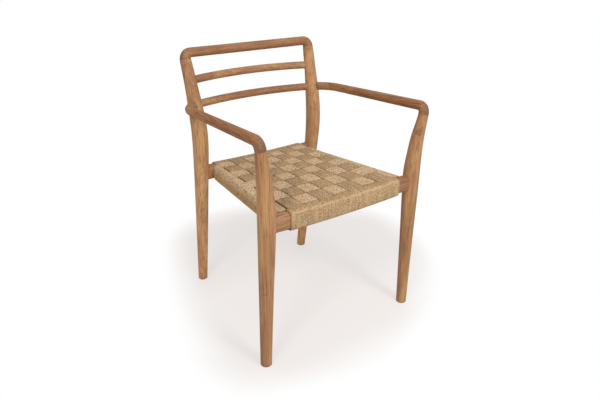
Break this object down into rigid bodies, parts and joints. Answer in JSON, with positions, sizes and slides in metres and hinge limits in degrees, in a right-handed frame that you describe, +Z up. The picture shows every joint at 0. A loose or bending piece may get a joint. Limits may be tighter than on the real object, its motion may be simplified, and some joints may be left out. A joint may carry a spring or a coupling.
{
  "type": "teak garden armchair",
  "caption": "Fixed garden armchair with round tapered hardwood legs, round arms and bowed back bars, and a seat woven from thin cord in a basket pattern.",
  "frame": {"origin": "middle of the chair's overall footprint, on the floor", "axes": "+Z up, -Y toward the front of the chair, +X toward the right of someone who stands in front and faces it"},
  "size_m": [0.56, 0.5419, 0.7873],
  "materials": {
    "teak_legs": "oiled, satin",
    "teak_bars": "oiled, satin",
    "teak_arms": "oiled, satin",
    "teak_rails": "oiled, satin",
    "cord_long": "twisted cord, matt",
    "cord_cross": "twisted cord, matt",
    "dowel_wood": "bare"
  },
  "bodies": {
    "root": {"front_leg_left": "teak_legs", "front_leg_right": "teak_legs", "back_leg_left": "teak_legs", "back_leg_right": "teak_legs", "top_rail": "teak_bars", "upper_slat": "teak_bars", "lower_slat": "teak_bars", "armrest_left": "teak_arms", "armrest_right": "teak_arms", "seat_rail_front": "teak_rails", "seat_rail_back": "teak_rails", "seat_rail_left": "teak_rails", "seat_rail_right": "teak_rails", "seat_cords_front_to_back": "cord_long", "seat_cords_side_to_side": "cord_cross", "arm_dowels": "dowel_wood", "crest_dowels": "dowel_wood"}
  },
  "joints": []
}
